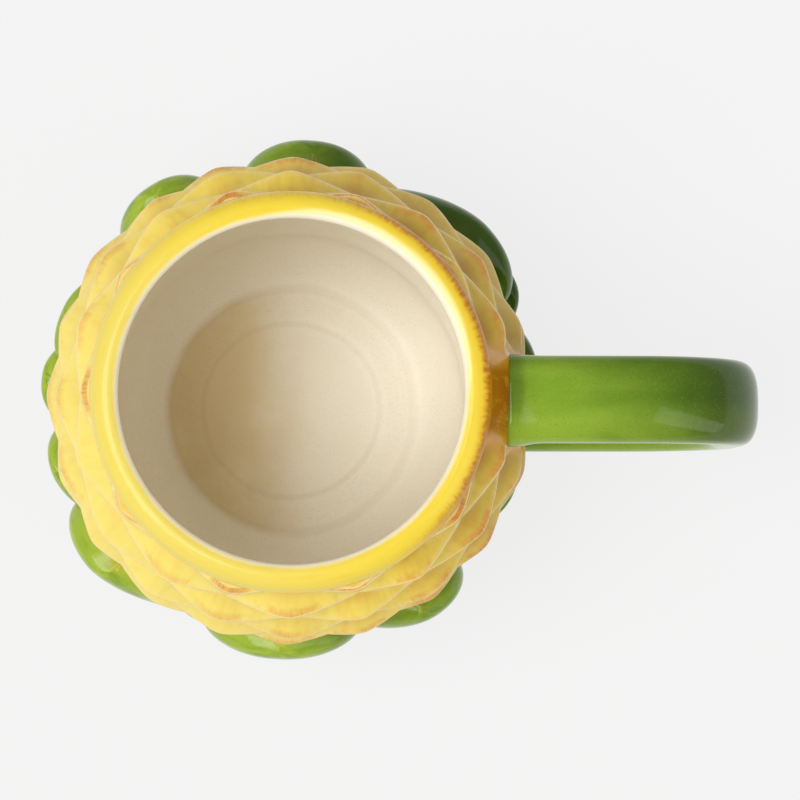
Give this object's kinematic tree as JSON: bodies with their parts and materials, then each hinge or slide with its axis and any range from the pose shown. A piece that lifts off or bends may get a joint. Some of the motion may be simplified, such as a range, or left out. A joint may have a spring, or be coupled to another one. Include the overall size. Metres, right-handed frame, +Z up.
{
  "type": "figural drinking mug",
  "caption": "Glazed earthenware mug shaped as a pineapple, with a scaled barrel body, a crown of leaves round its foot and a strap handle.",
  "frame": {"origin": "centre of the flat foot, on the surface that the mug stands on", "axes": "+Z up along the cup's axis, +X from the cup's axis towards the handle"},
  "size_m": [0.1551, 0.1133, 0.105],
  "materials": {
    "body_glaze": "gloss",
    "handle_glaze": "gloss",
    "leaf_glaze": "gloss"
  },
  "bodies": {
    "root": {"mug_body": "body_glaze", "handle": "handle_glaze", "leaf_upper_01": "leaf_glaze", "leaf_upper_02": "leaf_glaze", "leaf_upper_03": "leaf_glaze", "leaf_upper_04": "leaf_glaze", "leaf_upper_05": "leaf_glaze", "leaf_upper_06": "leaf_glaze", "leaf_upper_07": "leaf_glaze", "leaf_upper_08": "leaf_glaze", "leaf_upper_09": "leaf_glaze", "leaf_upper_10": "leaf_glaze", "leaf_lower_01": "leaf_glaze", "leaf_lower_02": "leaf_glaze", "leaf_lower_03": "leaf_glaze", "leaf_lower_04": "leaf_glaze", "leaf_lower_05": "leaf_glaze", "leaf_lower_06": "leaf_glaze", "leaf_lower_07": "leaf_glaze", "leaf_lower_08": "leaf_glaze", "leaf_lower_09": "leaf_glaze", "leaf_lower_10": "leaf_glaze"}
  },
  "joints": []
}
